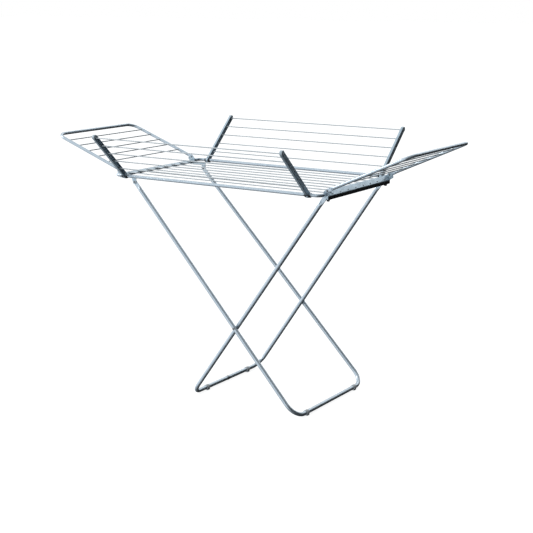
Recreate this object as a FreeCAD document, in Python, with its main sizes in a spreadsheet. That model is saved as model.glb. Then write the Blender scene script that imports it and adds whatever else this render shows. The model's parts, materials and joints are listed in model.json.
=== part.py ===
"""Folding clothes drying rack, millimetres, +Z up.

The origin lies on the floor under the middle of the deck.  X runs along the deck rods, Y across them.
The outer leg frame carries the deck at the left end; the inner leg frame props it at the right end.
"""
import FreeCAD, Part
import math
import os

from FreeCAD import Placement, Rotation, Vector

os.makedirs("parts", exist_ok=True)
doc = FreeCAD.newDocument("drying_rack")

# ---------------------------------------------------------------- driving dimensions
DIMENSIONS = {
    "deck_height": 958.0,
    "deck_half_length": 532.0,
    "deck_half_width": 304.0,
    "rail_radius": 7.0,
    "rail_wall": 1.2,
    "rail_end_reach": 520.0,
    "rail_bend_radius": 30.0,
    "rod_radius": 2.5,
    "deck_rod_pitch": 62.0,
    "sheet_wall": 1.5,
    "web_drop": 22.0,
    "web_top_drop": 5.0,
    "flange_rise": 17.0,
    "channel_half_width": 258.0,
    "left_web_drop": 16.0,
    "left_rim_rise": 3.0,
    "left_rim_fall": 6.0,
    "left_rim_depth": 22.0,
    "leg_radius": 9.0,
    "leg_wall": 1.2,
    "leg_pivot_drop": 33.0,
    "foot_height": 12.0,
    "outer_foot_reach": 403.0,
    "outer_top_reach": 456.0,
    "inner_foot_reach": 146.0,
    "inner_top_reach": 492.0,
    "inner_top_extra": 24.0,
    "outer_foot_half_width": 287.0,
    "frame_gap": 20.0,
    "leg_taper": 0.0275,
    "leg_corner_radius": 65.0,
    "leg_tab_radius": 10.0,
    "leg_tab_thickness": 4.0,
    "outer_clip_offset": 200.0,
    "inner_clip_offset": 158.0,
    "clip_radius": 11.4,
    "clip_width": 18.0,
    "rivet_radius": 3.0,
    "fit_gap": 0.05,
    "flap_angle": 44.0,
    "flap_rod_pitch": 52.5,
    "flap_reach": 263.0,
    "arm_offset": 467.0,
    "arm_width": 12.0,
    "arm_depth": 22.0,
    "arm_end": 267.0,
    "arm_eye_radius": 12.0,
    "stop_wire_radius": 2.0,
    "stop_wire_spread": 11.0,
    "left_wing_angle": 20.0,
    "right_wing_angle": 24.0,
    "wing_pivot_reach": 530.0,
    "wing_pivot_rise": 16.5,
    "wing_tip_reach": 894.5,
    "wing_half_width": 263.0,
    "wing_tube_radius": 7.0,
    "wing_tube_wall": 1.0,
    "wing_corner_radius": 45.0,
    "wing_first_rod": 84.3,
    "wing_rod_pitch": 59.25,
    "wing_tab_radius": 8.0,
    "wing_tab_thickness": 3.0,
    "wing_rivet_radius": 2.5,
    "plate_thickness": 2.5,
}
DECK_ROD_COUNT = 8
FLAP_ROD_COUNT = 5
WING_ROD_COUNT = 5

sizes = doc.addObject("Spreadsheet::Sheet", "Sizes")
for row, (alias, value) in enumerate(DIMENSIONS.items(), start=1):
    sizes.set("A%d" % row, alias.replace("_", " "))
    sizes.set("B%d" % row, str(value))
    sizes.setAlias("B%d" % row, alias)
doc.recompute()


def size(alias):
    """One driving dimension, read back from the sheet."""
    return float(sizes.get(alias))


SUBPARTS = []
X_AXIS, Y_AXIS, Z_AXIS = Vector(1, 0, 0), Vector(0, 1, 0), Vector(0, 0, 1)
ALONG_X = Rotation(Y_AXIS, 90)
ALONG_Y = Rotation(X_AXIS, -90)
HALF_TURN = Rotation(Z_AXIS, 180)


def subpart(thing, label, placement=None):
    """Names a finished sub-part, which is also the name of its file."""
    thing.Label = label
    if placement is not None:
        thing.Placement = placement
    SUBPARTS.append(thing)
    return thing


def bind(thing, **expressions):
    """Binds properties to expressions over the sheet; a double underscore stands for a dot."""
    for name, expression in expressions.items():
        thing.setExpression(name.replace("__", "."), str(expression))
    return thing


def cylinder(name, radius, height, placement=Placement(), angle=None):
    """A Part cylinder along its own Z, sized by expressions."""
    thing = doc.addObject("Part::Cylinder", name)
    bind(thing, Radius=radius, Height=height)
    if angle is not None:
        thing.Angle = angle
    thing.Placement = placement
    return thing


def box(name, length, width, height, corner):
    """A Part box sized by expressions, with its low corner at a point."""
    thing = doc.addObject("Part::Box", name)
    bind(thing, Length=length, Width=width, Height=height)
    thing.Placement = Placement(Vector(*corner), Rotation())
    return thing


def cut(name, base, tool):
    """Base minus tool."""
    thing = doc.addObject("Part::Cut", name)
    thing.Base = base
    thing.Tool = tool
    return thing


def fuse(name, *shapes):
    """All shapes as one."""
    thing = doc.addObject("Part::MultiFuse", name)
    thing.Shapes = list(shapes)
    return thing


def compound(name, *shapes):
    """Identical separate pieces kept in one sub-part."""
    thing = doc.addObject("Part::Compound", name)
    thing.Links = list(shapes)
    return thing


# ---------------------------------------------------------------- places worked out from the sheet
deck_z = size("deck_height")
pivot_z = deck_z - size("leg_pivot_drop")
foot_z = size("foot_height")
leg_rise = pivot_z - foot_z
outer_foot = Vector(size("outer_foot_reach"), 0, foot_z)
outer_top = Vector(-size("outer_top_reach"), 0, pivot_z)
inner_foot = Vector(-size("inner_foot_reach"), 0, foot_z)
inner_top = Vector(size("inner_top_reach"), 0, pivot_z)
outer_run = outer_foot.x - outer_top.x
inner_run = inner_top.x - inner_foot.x
cross_share = (outer_foot.x - inner_foot.x) / (outer_run + inner_run)
crossing = outer_foot + (outer_top - outer_foot) * cross_share
outer_length = (outer_top - outer_foot).Length
inner_length = (inner_top - inner_foot).Length
inner_tip = inner_top + (inner_top - inner_foot).normalize() * size("inner_top_extra")
tip_length = (inner_tip - inner_foot).Length
taper = size("leg_taper")
outer_foot_half = size("outer_foot_half_width")
outer_cross_half = outer_foot_half - taper * outer_length * cross_share
outer_top_half = outer_foot_half - taper * outer_length
inner_cross_half = outer_cross_half - size("frame_gap")
inner_foot_half = inner_cross_half + taper * inner_length * cross_share
inner_top_half = inner_foot_half - taper * tip_length


# ---------------------------------------------------------------- bent tubes with flattened ends
def circle_wire(centre, direction, radius):
    """A round wire."""
    return Part.Wire([Part.Circle(centre, direction, radius).toShape()])


def oval_wire(centre, along, across, half_length, half_width):
    """An oval wire in the plane of two directions."""
    oval = Part.Ellipse(centre + along * half_length, centre + across * half_width, centre)
    return Part.Wire([oval.toShape()])


def bent_tube(foot_half, top_half, length, corner, radius, wall, tab_radius, tab_thickness, flat, hole):
    """A U tube in the plane of local X (across) and Z (up), its crossbar at the origin.

    Both free ends are pressed flat into tabs that face along X, with a hole at the tab's centre.
    """
    turn = math.atan2(foot_half - top_half, length)
    lean = Vector(-math.sin(turn), 0, math.cos(turn))
    reach = corner * math.tan((math.pi / 2 + turn) / 2)
    low_corner = Vector(foot_half, 0, 0)
    bar_end = low_corner - X_AXIS * reach
    leg_start = low_corner + lean * reach
    centre = bar_end + Z_AXIS * corner
    middle = centre + (low_corner - centre).normalize() * corner
    tab_centre = low_corner + lean * (length / math.cos(turn))
    leg_end = tab_centre - lean * (2.2 * tab_radius + flat)

    def mirrored(point):
        return Vector(-point.x, point.y, point.z)

    path = Part.Wire([
        Part.LineSegment(mirrored(leg_end), mirrored(leg_start)).toShape(),
        Part.Arc(mirrored(leg_start), mirrored(middle), mirrored(bar_end)).toShape(),
        Part.LineSegment(mirrored(bar_end), bar_end).toShape(),
        Part.Arc(bar_end, middle, leg_start).toShape(),
        Part.LineSegment(leg_start, leg_end).toShape(),
    ])
    start_direction = mirrored(leg_start) - mirrored(leg_end)
    outside = path.makePipeShell([circle_wire(mirrored(leg_end), start_direction, radius)], True, False)
    inside = path.makePipeShell([circle_wire(mirrored(leg_end), start_direction, radius - wall)], True, False)
    body = outside.cut(inside)
    for side in (1, -1):
        up = Vector(lean.x * side, 0, lean.z)
        end = Vector(leg_end.x * side, 0, leg_end.z)
        centre = Vector(tab_centre.x * side, 0, tab_centre.z)
        neck = end + up * flat
        across = Vector(up.z, 0, -up.x)
        ring = circle_wire(end, up, radius)
        oval = oval_wire(neck, Y_AXIS, across, tab_radius, tab_thickness / 2)
        taper_piece = Part.makeLoft([ring, oval], True)
        disc = Part.makeCylinder(tab_radius, tab_thickness, centre - across * tab_thickness / 2, across)
        strap = Part.makeBox(tab_thickness, 2 * tab_radius, (centre - neck).Length + 1)
        strap.Placement = Placement(neck - up - across * tab_thickness / 2 - Y_AXIS * tab_radius,
                                    Rotation(across, Y_AXIS, up, "XYZ"))
        pin = Part.makeCylinder(hole, 8 * tab_thickness, centre - across * 4 * tab_thickness, across)
        body = body.fuse([taper_piece, disc, strap]).cut(pin)
    return body


def tilt(foot, top):
    """The placement that stands a flat frame on its foot and leans it towards its top."""
    lean = math.degrees(math.atan2(top.x - foot.x, top.z - foot.z))
    return Placement(foot, Rotation(Y_AXIS, lean) * Rotation(Z_AXIS, 90))


def leg_tube(label, foot, top, foot_half, top_half, cross_half, corner):
    """One leg frame's tube, drilled across at the crossing."""
    length = (top - foot).Length
    thing = doc.addObject("Part::Feature", label)
    shape = bent_tube(foot_half, top_half, length, corner, size("leg_radius"), size("leg_wall"),
                      size("leg_tab_radius"), size("leg_tab_thickness"), 26.0,
                      size("rivet_radius") + 2 * size("fit_gap"))
    reach = (crossing - foot).Length
    for side in (1, -1):
        drill = Part.makeCylinder(size("rivet_radius") + size("fit_gap"), 60,
                                  Vector(side * cross_half - 30, 0, reach), X_AXIS)
        shape = shape.cut(drill)
    thing.Shape = shape
    return subpart(thing, label, tilt(foot, top))


corner_radius = size("leg_corner_radius")
leg_tube("outer_leg_tube", outer_foot, outer_top, outer_foot_half, outer_top_half, outer_cross_half,
         corner_radius)
leg_tube("inner_leg_tube", inner_foot, inner_tip, inner_foot_half, inner_top_half, inner_cross_half,
         corner_radius - size("leg_radius"))


# ---------------------------------------------------------------- rivets, spacers and feet
def rivet(name, radius, grip, start, direction):
    """A round shank with a domed head at each end, its grip starting at a point."""
    shank = cylinder(name + "_shank", radius, grip)
    heads = []
    for end, z, up in (("near", 0.0, -1), ("far", grip, 1)):
        head = doc.addObject("Part::Cone", "%s_%s_head" % (name, end))
        bind(head, Radius1="%s * 1.9" % radius, Radius2="%s * 0.9" % radius, Height="%s * 0.7" % radius)
        head.Placement = Placement(Vector(0, 0, z), Rotation(X_AXIS, 0 if up > 0 else 180))
        heads.append(head)
    whole = fuse(name, shank, *heads)
    whole.Placement = Placement(start, Rotation(Z_AXIS, direction))
    return whole


leg_radius = size("leg_radius")
crossing_grip = size("frame_gap") + 2 * leg_radius + 1.0
crossing_rivets = []
crossing_spacers = []
for side, word in ((-1, "front"), (1, "rear")):
    start = Vector(crossing.x, side * (inner_cross_half - leg_radius - 0.5), crossing.z)
    crossing_rivets.append(rivet("crossing_rivet_" + word, "Sizes.rivet_radius", crossing_grip, start,
                                 Y_AXIS * side))
    gap_middle = (outer_cross_half + inner_cross_half) / 2
    spacer_place = Placement(Vector(crossing.x, side * gap_middle - 0.7, crossing.z), ALONG_Y)
    disc = cylinder("spacer_disc_" + word, "Sizes.leg_radius - 2", 1.4, spacer_place)
    bore = cylinder("spacer_bore_" + word, "Sizes.rivet_radius + Sizes.fit_gap", 1.4, spacer_place)
    crossing_spacers.append(cut("crossing_spacer_" + word, disc, bore))
subpart(compound("crossing_rivet_set", *crossing_rivets), "crossing_rivets")
subpart(compound("crossing_spacer_set", *crossing_spacers), "crossing_spacers")


def foot_clips(label, foot_x, offset):
    """Two plastic clips round a frame's crossbar, each with a flat sole on the floor."""
    clips = []
    for side, word in ((-1, "front"), (1, "rear")):
        name = "%s_%s" % (label, word)
        middle = Vector(foot_x, side * offset, foot_z)
        low = middle - Y_AXIS * size("clip_width") / 2
        place = Placement(low, ALONG_Y)
        shell = cylinder(name + "_shell", "Sizes.clip_radius", "Sizes.clip_width", place)
        sole = box(name + "_sole", "Sizes.clip_radius * 1.6", "Sizes.clip_width",
                   "Sizes.foot_height - Sizes.clip_radius * 0.6",
                   (foot_x - 0.8 * size("clip_radius"), low.y, 0))
        bore = cylinder(name + "_bore", "Sizes.leg_radius + Sizes.fit_gap", "Sizes.clip_width", place)
        clips.append(cut(name, fuse(name + "_body", shell, sole), bore))
    return subpart(compound(label + "_set", *clips), label)


foot_clips("outer_foot_clips", outer_foot.x, size("outer_clip_offset"))
foot_clips("inner_foot_clips", inner_foot.x, size("inner_clip_offset"))

sleeve_place = Placement(Vector(inner_foot.x, -5, foot_z), ALONG_Y)
sleeve_skin = cylinder("sleeve_skin", "Sizes.leg_radius + 0.8", 10, sleeve_place)
sleeve_bore = cylinder("sleeve_bore", "Sizes.leg_radius + Sizes.fit_gap", 10, sleeve_place)
subpart(cut("crossbar_sleeve_cut", sleeve_skin, sleeve_bore), "crossbar_sleeve")

pivot_rivets = []
prop_rivets = []
tab_half = size("leg_tab_thickness") / 2
for side, word in ((-1, "front"), (1, "rear")):
    start = Vector(outer_top.x, side * (outer_top_half - tab_half - 0.4), outer_top.z)
    pivot_rivets.append(rivet("pivot_rivet_" + word, "Sizes.rivet_radius", 2 * tab_half + 0.8
                              + 0.5 + size("plate_thickness"), start, Y_AXIS * side))
    start = Vector(inner_tip.x, side * (inner_top_half - tab_half - 0.4), inner_tip.z)
    prop_rivets.append(rivet("prop_rivet_" + word, "Sizes.rivet_radius", 2 * tab_half + 0.8, start,
                             Y_AXIS * side))
subpart(compound("deck_pivot_rivet_set", *pivot_rivets), "deck_pivot_rivets")
subpart(compound("leg_top_rivet_set", *prop_rivets), "leg_top_rivets")

# ---------------------------------------------------------------- deck: rails, rods, end channels
deck_half = size("deck_half_length")
wall = size("sheet_wall")
plate_low = size("channel_half_width")
plate_high = plate_low + size("plate_thickness")


def rail(label, side):
    """A long rail, bent inwards at both ends until it butts on the end plates."""
    end, bend, line = size("rail_end_reach"), size("rail_bend_radius"), size("deck_half_width")
    half_way = bend * math.sqrt(0.5)

    def place(hand, x, y):
        return Vector(hand * x, side * y, deck_z)

    stops = {hand: place(hand, end, plate_high) for hand in (-1, 1)}
    bends = {hand: place(hand, end, line - bend) for hand in (-1, 1)}
    knees = {hand: place(hand, end - bend + half_way, line - bend + half_way) for hand in (-1, 1)}
    straights = {hand: place(hand, end - bend, line) for hand in (-1, 1)}
    path = Part.Wire([
        Part.LineSegment(stops[-1], bends[-1]).toShape(),
        Part.Arc(bends[-1], knees[-1], straights[-1]).toShape(),
        Part.LineSegment(straights[-1], straights[1]).toShape(),
        Part.Arc(straights[1], knees[1], bends[1]).toShape(),
        Part.LineSegment(bends[1], stops[1]).toShape(),
    ])
    skins = [path.makePipeShell([circle_wire(stops[-1], Y_AXIS * side, radius)], True, False)
             for radius in (size("rail_radius"), size("rail_radius") - size("rail_wall"))]
    thing = doc.addObject("Part::Feature", label)
    thing.Shape = skins[0].cut(skins[1])
    return subpart(thing, label)


rail("front_rail", -1)
rail("rear_rail", 1)

rod_end = deck_half - 2.0
for number in range(DECK_ROD_COUNT):
    y = (number - (DECK_ROD_COUNT - 1) / 2) * size("deck_rod_pitch")
    place = Placement(Vector(-rod_end, y, deck_z), ALONG_X)
    rod = cylinder("deck_rod_body_%d" % (number + 1), "Sizes.rod_radius", 2 * rod_end, place)
    subpart(rod, "deck_rod_%d" % (number + 1))


def origin_plane(body, role):
    """One of a body's own origin planes."""
    for feature in body.Origin.OriginFeatures:
        if feature.Role == role:
            return feature
    raise LookupError(role)


def sketch(body, name, role, loops, offset=0.0):
    """A sketch of closed loops on an origin plane: polygons as point lists, circles as (x, y, radius)."""
    drawing = body.newObject("Sketcher::SketchObject", name)
    drawing.AttachmentSupport = [(origin_plane(body, role), "")]
    drawing.MapMode = "FlatFace"
    drawing.AttachmentOffset = Placement(Vector(0, 0, offset), Rotation())
    for loop in loops:
        if isinstance(loop, tuple):
            drawing.addGeometry(Part.Circle(Vector(loop[0], loop[1], 0), Z_AXIS, loop[2]))
            continue
        for start, end in zip(loop, loop[1:] + loop[:1]):
            drawing.addGeometry(Part.LineSegment(Vector(*start, 0), Vector(*end, 0)))
    return drawing


def pad(body, drawing, expression):
    """A pad both ways from its sketch, its whole length given by an expression."""
    feature = body.newObject("PartDesign::Pad", drawing.Name + "_pad")
    feature.Profile = drawing
    feature.Midplane = True
    bind(feature, Length=expression)
    return feature


def high_rim():
    """The right channel's outlines: an upright web and a flange that slopes up and in."""
    low = deck_z - size("web_drop")
    knee = deck_z - size("web_top_drop")
    rise = size("flange_rise")
    inner = deck_half - rise
    return [
        [(deck_half - wall, low), (deck_half, low), (deck_half, knee), (deck_half - wall, knee)],
        [(deck_half, knee), (inner, knee + rise), (inner - wall, knee + rise - wall),
         (deck_half - wall, knee - wall)],
        [(inner - wall, knee + rise - wall), (inner, knee + rise), (inner - 5, knee + rise),
         (inner - 5, knee + rise - wall)],
    ]


def low_rim():
    """The left channel's outlines: an upright web and a flange that slopes down and in."""
    low = deck_z - size("left_web_drop")
    top = deck_z + size("left_rim_rise")
    fall = size("left_rim_fall")
    depth = size("left_rim_depth")
    inner = deck_half - depth
    under = top - wall - fall * wall / depth
    return [
        [(deck_half - wall, low), (deck_half, low), (deck_half, top), (deck_half - wall, top)],
        [(deck_half, top), (inner, top - fall), (inner, top - fall - wall), (deck_half - wall, under)],
        [(inner, top - fall), (inner, top - fall - wall), (inner - 4, top - fall - wall),
         (inner - 4, top - fall)],
    ]


def end_channel(label, hand, outlines):
    """A pressed end channel that holds the rod ends, padded from its web, slope and lip."""
    body = doc.addObject("PartDesign::Body", label + "_body")
    outer = deck_half
    for name, loop in zip(("web", "slope", "lip"), outlines):
        pad(body, sketch(body, "%s_%s" % (label, name), "XZ_Plane", [loop]), "2 * Sizes.channel_half_width")
    holes = []
    for number in range(DECK_ROD_COUNT):
        y = (number - (DECK_ROD_COUNT - 1) / 2) * size("deck_rod_pitch")
        place = Placement(Vector(outer - 40, y, deck_z), ALONG_X)
        holes.append(cylinder("%s_hole_%d" % (label, number + 1), "Sizes.rod_radius + Sizes.fit_gap", 50,
                              place))
    channel = cut(label + "_drilled", body, fuse(label + "_holes", *holes))
    return subpart(channel, label, Placement(Vector(), HALF_TURN) if hand < 0 else Placement())


end_channel("left_end_channel", -1, low_rim())
end_channel("right_end_channel", 1, high_rim())


def plate(name, outline, holes, low_y):
    """A flat plate in the XZ plane, from low_y upwards by the plate thickness."""
    body = doc.addObject("PartDesign::Body", name)
    drawing = sketch(body, name + "_outline", "XZ_Plane", [outline] + holes)
    pad(body, drawing, "Sizes.plate_thickness")
    body.Placement = Placement(Vector(0, low_y + size("plate_thickness") / 2, 0), Rotation())
    return body


def both_ends(label, outline, holes, low_y):
    """The same plate near both ends of a channel, front and rear."""
    front = plate(label + "_front", outline, holes, -low_y - size("plate_thickness"))
    rear = plate(label + "_rear", outline, holes, low_y)
    return subpart(compound(label + "_set", front, rear), label)


web_face = deck_half - wall


def outline_at(hand, points):
    """An outline given as (reach, height above the rod plane), set at one end of the deck."""
    return [(hand * x, deck_z + z) for x, z in points]


hole = size("rivet_radius") + size("fit_gap")
pivot_x, drop = size("outer_top_reach"), size("leg_pivot_drop")
pivot_points = [
    (web_face, -15.5), (web_face, -9.5), (pivot_x - 10, -9.5), (pivot_x - 10, 4 - drop),
    (pivot_x - 7, -7 - drop), (pivot_x, -10 - drop), (pivot_x + 7, -7 - drop), (pivot_x + 10, 4 - drop),
    (pivot_x + 14, -17), (web_face - 8, -17),
]
both_ends("leg_pivot_brackets", outline_at(-1, pivot_points), [(outer_top.x, pivot_z, hole)],
          outer_top_half + tab_half + 0.5)

catch_points = [
    (web_face, -21), (web_face, -8), (web_face - 15, -8), (web_face - 18, -22), (web_face - 15, -31),
    (web_face - 5, -31),
]
both_ends("leg_top_catches", outline_at(1, catch_points), [],
          inner_top_half + tab_half + 0.7 * size("rivet_radius") + 0.8)

wing_x = size("wing_pivot_reach")
wing_z = deck_z + size("wing_pivot_rise")
wing_hole = size("wing_rivet_radius") + size("fit_gap")
tab_low = size("wing_half_width") - size("wing_tab_thickness") / 2
tab_high = size("wing_half_width") + size("wing_tab_thickness") / 2
stop_radius = 2.0
stop_along = 10.0
stop_below = size("wing_tab_radius") + stop_radius + 0.3
plate_points = [
    (512, -10), (web_face, -20), (deck_half, -20), (deck_half, -6), (548, 4), (548, 13), (537, 22),
    (wing_x, 24.5), (523, 22), (512, 9),
]


def wing_slant(hand):
    """How far a wing rises above the level, in radians."""
    return math.radians(size("left_wing_angle" if hand < 0 else "right_wing_angle"))


for hand, word in ((-1, "left"), (1, "right")):
    slant = wing_slant(hand)
    stop_x = wing_x + stop_along * math.cos(slant) + stop_below * math.sin(slant)
    stop_z = wing_z + stop_along * math.sin(slant) - stop_below * math.cos(slant)
    holes = [(hand * wing_x, wing_z, wing_hole), (hand * stop_x, stop_z, stop_radius + size("fit_gap"))]
    both_ends(word + "_wing_brackets", outline_at(hand, plate_points), holes, plate_low)
    stop_pins = []
    wing_rivets = []
    for side, end in ((-1, "front"), (1, "rear")):
        outward = Y_AXIS * side
        pin_start = Vector(hand * stop_x, side * plate_low, stop_z)
        stop_pins.append(cylinder("%s_stop_pin_%s" % (word, end), stop_radius, tab_high + 1 - plate_low,
                                  Placement(pin_start, Rotation(Z_AXIS, outward))))
        grip_start = Vector(hand * wing_x, side * plate_low, wing_z)
        wing_rivets.append(rivet("%s_wing_rivet_%s" % (word, end), "Sizes.wing_rivet_radius",
                                 tab_high + 0.3 - plate_low, grip_start, outward))
    subpart(compound(word + "_stop_pin_set", *stop_pins), word + "_wing_stop_pins")
    subpart(compound(word + "_wing_rivet_set", *wing_rivets), word + "_wing_rivets")


# ---------------------------------------------------------------- flaps along both long sides
def flap_place(side):
    """The placement of a flap: local X along the rail, local Y up the arm, turned for the front."""
    leaned = Rotation(X_AXIS, size("flap_angle"))
    turned = leaned if side > 0 else HALF_TURN * leaned
    return Placement(Vector(0, side * size("deck_half_width"), deck_z), turned)


def flap_arm(name, offset, opening):
    """A channel arm, open towards the rods, with an eye at its foot that turns on the rail."""
    half = size("arm_width") / 2
    depth = size("arm_depth")
    skin = box(name + "_skin", "Sizes.arm_width", "Sizes.arm_end", "Sizes.arm_depth",
               (offset - half, 0, -depth / 2))
    cavity_corner = offset - half + (wall if opening > 0 else -1)
    cavity = box(name + "_cavity", "Sizes.arm_width - Sizes.sheet_wall + 1", "Sizes.arm_end",
                 "Sizes.arm_depth - 2 * Sizes.sheet_wall", (cavity_corner, 16, -depth / 2 + wall))
    eye_place = Placement(Vector(offset - half, 0, 0), ALONG_X)
    eye = cylinder(name + "_eye", "Sizes.arm_eye_radius", "Sizes.arm_width", eye_place)
    bore = cylinder(name + "_bore", "Sizes.rail_radius + Sizes.fit_gap", "Sizes.arm_width", eye_place)
    hollow = cut(name + "_channel", skin, cavity)
    return cut(name, fuse(name + "_solid", hollow, eye), bore)


for side, flap in ((-1, "front"), (1, "rear")):
    place = flap_place(side)
    caps = []
    for local, word in ((-1, "left"), (1, "right")):
        hand = local * side
        offset = local * size("arm_offset")
        end = "left" if hand < 0 else "right"
        arm = flap_arm("%s_%s_arm_body" % (flap, end), offset, -local)
        subpart(arm, "%s_%s_arm" % (flap, end), place)
        cap_place = Placement(Vector(offset - size("arm_width") / 2, size("arm_end"), 0),
                              Rotation(Y_AXIS, 90) * Rotation(Z_AXIS, 0))
        caps.append(cylinder("%s_%s_cap" % (flap, end), "Sizes.arm_depth / 2", "Sizes.arm_width", cap_place,
                             180))
    subpart(compound(flap + "_cap_set", *caps), flap + "_arm_caps", place)
    for number in range(FLAP_ROD_COUNT):
        height = size("flap_reach") - number * size("flap_rod_pitch")
        rod_half = size("arm_offset") + size("arm_width") / 2 - wall
        rod = cylinder("%s_flap_rod_body_%d" % (flap, number + 1), "Sizes.rod_radius", 2 * rod_half)
        rod_place = place * Placement(Vector(-rod_half, height, 0), ALONG_X)
        subpart(rod, "%s_flap_rod_%d" % (flap, number + 1), rod_place)


def stop_spring(name, offset):
    """A wire stop: two hooks round the rail, joined by a bar that the arm leans on."""
    wire = size("stop_wire_radius")
    ring_radius = size("rail_radius") + wire + size("fit_gap")
    bar_along = 14.0
    bar_below = size("arm_depth") / 2 + wire + 0.3
    bar = Vector(0, bar_along, -bar_below)
    direction = math.degrees(math.atan2(bar.z, bar.y))
    spread = size("stop_wire_spread")
    pieces = []
    for hand, word in ((-1, "a"), (1, "b")):
        x = offset + hand * spread
        ring = doc.addObject("Part::Torus", "%s_ring_%s" % (name, word))
        bind(ring, Radius1="Sizes.rail_radius + Sizes.stop_wire_radius + Sizes.fit_gap",
             Radius2="Sizes.stop_wire_radius")
        ring.Angle3 = 235
        ring.Placement = Placement(Vector(x, 0, 0), Rotation(X_AXIS, direction - 235)
                                   * Rotation(Y_AXIS, Z_AXIS, X_AXIS, "XYZ"))
        strut_length = bar.Length - ring_radius
        strut_start = Vector(x, 0, 0) + Vector(bar).normalize() * ring_radius
        strut = cylinder("%s_strut_%s" % (name, word), wire, strut_length,
                         Placement(strut_start, Rotation(Z_AXIS, bar)))
        knee = doc.addObject("Part::Sphere", "%s_knee_%s" % (name, word))
        bind(knee, Radius="Sizes.stop_wire_radius")
        knee.Placement = Placement(bar + X_AXIS * x, Rotation())
        heel = doc.addObject("Part::Sphere", "%s_heel_%s" % (name, word))
        bind(heel, Radius="Sizes.stop_wire_radius")
        heel.Placement = Placement(strut_start, Rotation())
        pieces += [ring, strut, knee, heel]
    pieces.append(cylinder(name + "_bar", wire, 2 * spread,
                           Placement(bar + X_AXIS * (offset - spread), ALONG_X)))
    return fuse(name, *pieces)


for side, flap in ((-1, "front"), (1, "rear")):
    springs = [stop_spring("%s_stop_%s" % (flap, word), local * size("arm_offset"))
               for local, word in ((-1, "one"), (1, "two"))]
    subpart(compound(flap + "_stop_set", *springs), flap + "_flap_stops", flap_place(side))


# ---------------------------------------------------------------- end wings
def wing_length(hand):
    """A wing's length from its pivot to its crossbar; both wings reach equally far out."""
    return (size("wing_tip_reach") - wing_x) / math.cos(wing_slant(hand))


def wing_place(hand):
    """The placement of a wing's flat frame: local Z back towards the pivot, crossbar at the tip."""
    slant = wing_slant(hand)
    outward = Vector(hand * math.cos(slant), 0, math.sin(slant))
    tip = Vector(hand * wing_x, 0, wing_z) + outward * wing_length(hand)
    return Placement(tip, Rotation(Y_AXIS, Vector(), outward * -1, "ZYX"))


for hand, word in ((-1, "left"), (1, "right")):
    place = wing_place(hand)
    length = wing_length(hand)
    half_width = size("wing_half_width")
    radius = size("wing_tube_radius")
    shape = bent_tube(half_width, half_width, length, size("wing_corner_radius"), radius,
                      size("wing_tube_wall"), size("wing_tab_radius"), size("wing_tab_thickness"), 18.0,
                      wing_hole)
    rod_half = half_width - radius + size("wing_tube_wall")
    for number in range(WING_ROD_COUNT):
        height = length - size("wing_first_rod") - number * size("wing_rod_pitch")
        shape = shape.cut(Part.makeCylinder(size("rod_radius"), 2 * rod_half, Vector(-rod_half, 0, height),
                                            X_AXIS))
        rod = cylinder("%s_wing_rod_body_%d" % (word, number + 1), "Sizes.rod_radius", 2 * rod_half)
        subpart(rod, "%s_wing_rod_%d" % (word, number + 1),
                place * Placement(Vector(-rod_half, 0, height), ALONG_X))
    tube = doc.addObject("Part::Feature", word + "_wing_tube")
    tube.Shape = shape
    subpart(tube, word + "_wing_tube", place)

# ---------------------------------------------------------------- check and write
doc.recompute()
broken = [thing.Name for thing in doc.Objects if {"Invalid", "Error"} & set(thing.State)]
if broken:
    raise RuntimeError("objects that did not compute: %s" % broken)
for thing in SUBPARTS:
    if thing.Shape.isNull() or not thing.Shape.isValid():
        raise RuntimeError("bad shape: " + thing.Label)
for thing in SUBPARTS:
    thing.Shape.exportStep("parts/%s.step" % thing.Label)
print("%d sub-parts written" % len(SUBPARTS))
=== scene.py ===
"""Looks of a folding clothes drying rack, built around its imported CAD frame, in metres, +Z up."""
import json
import logging
import math
from dataclasses import dataclass, field
from enum import Enum
from typing import Callable, Iterable, Optional, Sequence

import bmesh
import bpy
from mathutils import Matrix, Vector


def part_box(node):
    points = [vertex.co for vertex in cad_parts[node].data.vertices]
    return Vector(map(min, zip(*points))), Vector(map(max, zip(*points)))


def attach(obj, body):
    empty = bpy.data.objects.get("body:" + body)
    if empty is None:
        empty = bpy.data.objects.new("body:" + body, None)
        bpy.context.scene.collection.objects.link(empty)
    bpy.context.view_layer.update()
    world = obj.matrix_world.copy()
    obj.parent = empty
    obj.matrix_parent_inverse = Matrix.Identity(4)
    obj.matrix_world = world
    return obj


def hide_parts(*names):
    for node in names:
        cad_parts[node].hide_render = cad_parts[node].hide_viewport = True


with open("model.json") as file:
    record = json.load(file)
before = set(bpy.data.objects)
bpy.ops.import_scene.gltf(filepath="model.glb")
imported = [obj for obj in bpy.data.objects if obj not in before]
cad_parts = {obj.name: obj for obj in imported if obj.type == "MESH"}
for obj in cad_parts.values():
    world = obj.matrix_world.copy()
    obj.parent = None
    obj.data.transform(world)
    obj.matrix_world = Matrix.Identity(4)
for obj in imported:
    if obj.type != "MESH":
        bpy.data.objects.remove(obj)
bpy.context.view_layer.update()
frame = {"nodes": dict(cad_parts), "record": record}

LOG = logging.getLogger("drying_rack")
MM = 0.001
X_AXIS = Vector((1.0, 0.0, 0.0))
Y_AXIS = Vector((0.0, 1.0, 0.0))
SIGNS = (-1.0, 1.0)
ROUND_SIDES = 28

# Sizes that more than one part of the rack uses.
ROD_RADIUS = 2.5 * MM
RAIL_RADIUS = 7.0 * MM
SHEET = 1.5 * MM
FLAP_LEAN = math.radians(44.0)
ARM_OFFSET = 467.0 * MM
ARM_DEPTH = 22.0 * MM

Triple = tuple[float, float, float]
Station = tuple[float, float, float, float, float]


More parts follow.
